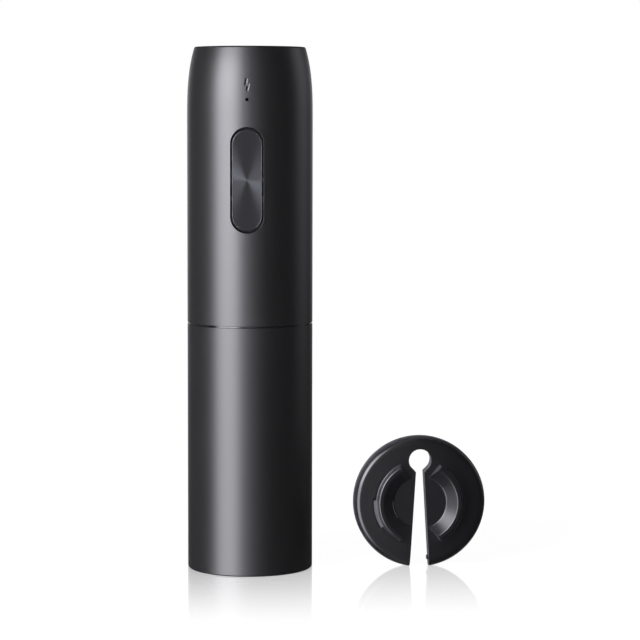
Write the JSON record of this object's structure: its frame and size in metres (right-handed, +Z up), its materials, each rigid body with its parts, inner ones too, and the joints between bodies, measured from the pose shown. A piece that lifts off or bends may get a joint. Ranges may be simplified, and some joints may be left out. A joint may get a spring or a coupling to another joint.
{
  "type": "electric wine opener",
  "caption": "Cylindrical battery wine opener with a rocker switch, a geared motor driving a worm inside a neck sleeve, and a round squeeze-jaw foil cutter standing beside it.",
  "frame": {"origin": "on the opener's axis at the open mouth of its sleeve, in the plane that it stands on", "axes": "+Z runs up the opener's axis from the mouth to the closed top, -Y is the front with the rocker switch, and +X points to the foil cutter"},
  "size_m": [0.1279, 0.0534, 0.2228],
  "materials": {
    "shell_black": "satin black moulded shell",
    "frame_black": "matt black moulding",
    "liner_grey": "dark grey moulded liner",
    "button_metal": "anodised dark grey, spun finish",
    "cutter_black": "matt black moulding",
    "blade_steel": "ground steel",
    "guide_smoke": "smoked clear rod",
    "worm_coat": "dark non-stick coat on steel",
    "steel": "bright steel",
    "gear_plastic": "natural acetal",
    "box_plastic": "grey filled nylon",
    "bronze": "sintered bronze and copper alloy",
    "can_steel": "zinc-plated drawn steel",
    "magnet_iron": "ferrite and lamination steel",
    "cell_wrap": "steel cells in a blue film sleeve",
    "board_green": "solder-masked glass laminate",
    "chip_black": "moulded package",
    "led_white": "diffused lamp"
  },
  "bodies": {
    "opener": {"upper_housing": "shell_black", "lower_sleeve": "shell_black", "mid_frame": "frame_black", "neck_guide": "liner_grey", "output_bush": "bronze", "gear_ring": "box_plastic", "gearbox_cover": "box_plastic", "gearbox_screws": "steel", "motor_screws": "steel", "motor_can": "can_steel", "motor_endcap": "box_plastic", "motor_bushes": "bronze", "motor_magnets": "magnet_iron", "battery_holder": "box_plastic", "battery_cells": "cell_wrap", "battery_contacts": "bronze", "control_board": "board_green", "control_chip": "chip_black", "status_led": "led_white", "switch_bodies": "chip_black", "board_screws": "steel", "light_guide": "guide_smoke", "charge_board": "board_green", "charge_socket": "steel", "charge_screws": "steel", "button_pin": "steel"},
    "rocker": {"button_carrier": "frame_black", "button_plate": "button_metal"},
    "plunger_upper": {"switch_plunger_upper": "chip_black"},
    "plunger_lower": {"switch_plunger_lower": "chip_black"},
    "rotor": {"rotor_shaft": "steel", "rotor_core": "magnet_iron", "commutator": "bronze", "motor_pinion": "bronze"},
    "first_stage": {"first_carrier": "steel", "stage1_pins": "steel"},
    "screw": {"corkscrew": "worm_coat", "screw_hub": "steel", "hub_pin": "steel", "output_carrier": "steel", "stage2_pins": "steel"},
    "stage1_planet_1": {"stage1_planet_1": "gear_plastic"},
    "stage1_planet_2": {"stage1_planet_2": "gear_plastic"},
    "stage1_planet_3": {"stage1_planet_3": "gear_plastic"},
    "stage2_planet_1": {"stage2_planet_1": "gear_plastic"},
    "stage2_planet_2": {"stage2_planet_2": "gear_plastic"},
    "stage2_planet_3": {"stage2_planet_3": "gear_plastic"},
    "cutter_left": {"foil_cutter_left": "cutter_black", "cutter_blade_left": "blade_steel"},
    "cutter_right": {"foil_cutter_right": "cutter_black", "cutter_blade_right": "blade_steel"}
  },
  "joints": [
    {"name": "rotor_spin", "type": "hinge", "parent": "opener", "child": "rotor", "pos_m": [0, 0, 0.1371], "axis": [0, 0, 1], "continuous": true},
    {"name": "first_carrier_spin", "type": "hinge", "parent": "opener", "child": "first_stage", "pos_m": [0, 0, 0.1097], "axis": [0, 0, 1], "continuous": true},
    {"name": "screw_spin", "type": "hinge", "parent": "opener", "child": "screw", "pos_m": [0, 0, 0.0965], "axis": [0, 0, 1], "continuous": true},
    {"name": "stage1_planet_1_spin", "type": "hinge", "parent": "first_stage", "child": "stage1_planet_1", "pos_m": [0.00945, 0, 0.1137], "axis": [0, 0, 1], "continuous": true},
    {"name": "stage1_planet_2_spin", "type": "hinge", "parent": "first_stage", "child": "stage1_planet_2", "pos_m": [-0.00473, 0.00818, 0.1137], "axis": [0, 0, 1], "continuous": true},
    {"name": "stage1_planet_3_spin", "type": "hinge", "parent": "first_stage", "child": "stage1_planet_3", "pos_m": [-0.00473, -0.00818, 0.1137], "axis": [0, 0, 1], "continuous": true},
    {"name": "stage2_planet_1_spin", "type": "hinge", "parent": "screw", "child": "stage2_planet_1", "pos_m": [0.00945, 0, 0.1057], "axis": [0, 0, 1], "continuous": true},
    {"name": "stage2_planet_2_spin", "type": "hinge", "parent": "screw", "child": "stage2_planet_2", "pos_m": [-0.00473, 0.00818, 0.1057], "axis": [0, 0, 1], "continuous": true},
    {"name": "stage2_planet_3_spin", "type": "hinge", "parent": "screw", "child": "stage2_planet_3", "pos_m": [-0.00473, -0.00818, 0.1057], "axis": [0, 0, 1], "continuous": true},
    {"name": "rocker_tilt", "type": "hinge", "parent": "opener", "child": "rocker", "pos_m": [0, -0.0214, 0.16695], "axis": [1, 0, 0], "range_deg": [-2.2, 2.2], "stiffness_Nm_per_rad": 0.15},
    {"name": "plunger_upper_press", "type": "slide", "parent": "opener", "child": "plunger_upper", "axis": [0, 1, 0], "range_m": [0, 0.00025], "stiffness_N_per_m": 800},
    {"name": "plunger_lower_press", "type": "slide", "parent": "opener", "child": "plunger_lower", "axis": [0, 1, 0], "range_m": [0, 0.00025], "stiffness_N_per_m": 800},
    {"name": "cutter_lift", "type": "slide", "parent": "opener", "child": "cutter_left", "axis": [0, 0, 1], "range_m": [0, 0.07]},
    {"name": "cutter_squeeze", "type": "hinge", "parent": "cutter_left", "child": "cutter_right", "pos_m": [0.0725, 0.0062, 0.05108], "axis": [-0.0958, 0.9954, 0], "range_deg": [0, 5.5], "stiffness_Nm_per_rad": 0.4}
  ],
  "couplings": [
    {"joint": "first_carrier_spin", "follows": "rotor_spin", "ratio": 0.16667},
    {"joint": "screw_spin", "follows": "rotor_spin", "ratio": 0.027778},
    {"joint": "stage1_planet_1_spin", "follows": "rotor_spin", "ratio": -0.41667},
    {"joint": "stage1_planet_2_spin", "follows": "rotor_spin", "ratio": -0.41667},
    {"joint": "stage1_planet_3_spin", "follows": "rotor_spin", "ratio": -0.41667},
    {"joint": "stage2_planet_1_spin", "follows": "rotor_spin", "ratio": -0.069444},
    {"joint": "stage2_planet_2_spin", "follows": "rotor_spin", "ratio": -0.069444},
    {"joint": "stage2_planet_3_spin", "follows": "rotor_spin", "ratio": -0.069444}
  ]
}
